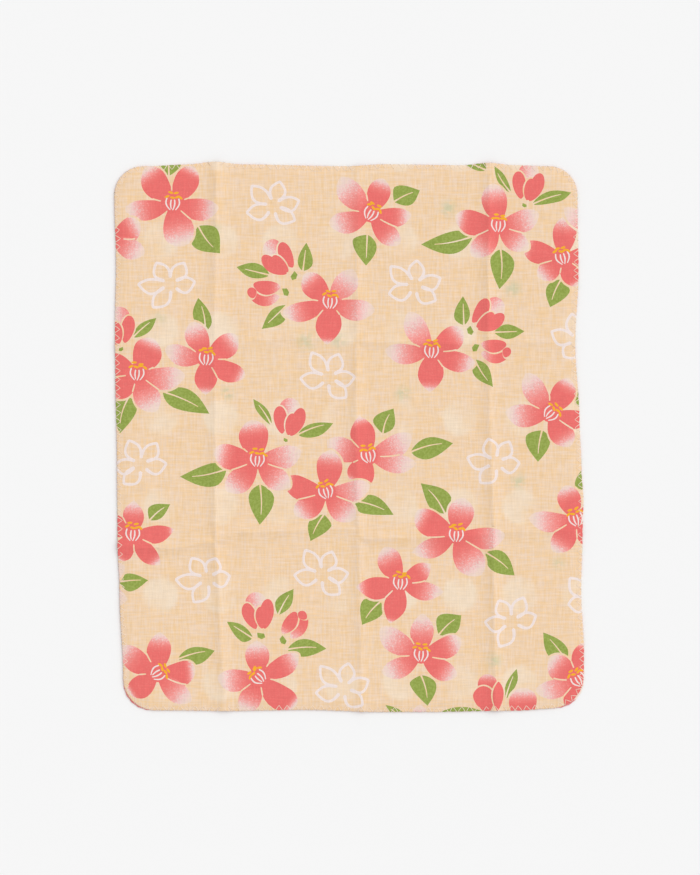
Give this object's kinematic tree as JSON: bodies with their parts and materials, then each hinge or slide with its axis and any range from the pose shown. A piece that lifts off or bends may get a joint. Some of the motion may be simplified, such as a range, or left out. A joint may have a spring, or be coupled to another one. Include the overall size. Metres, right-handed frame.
{
  "type": "double gauze handkerchief",
  "caption": "Rectangular double gauze handkerchief with rounded corners, laid open, with low crossing creases from its last folding.",
  "frame": {"origin": "centre of the bounding box of both plies, at the level of the table the cloth lies on", "axes": "+X across the width to the right of the picture, +Y up the length, +Z out of the printed face"},
  "size_m": [0.294, 0.3444, 0.0046],
  "materials": {
    "face_gauze": "matte open weave, warm beige with a coral and green flower print",
    "back_gauze": "matte open weave, pink with pale dots"
  },
  "bodies": {
    "root": {"face_gauze": "face_gauze", "back_gauze": "back_gauze"}
  },
  "joints": []
}
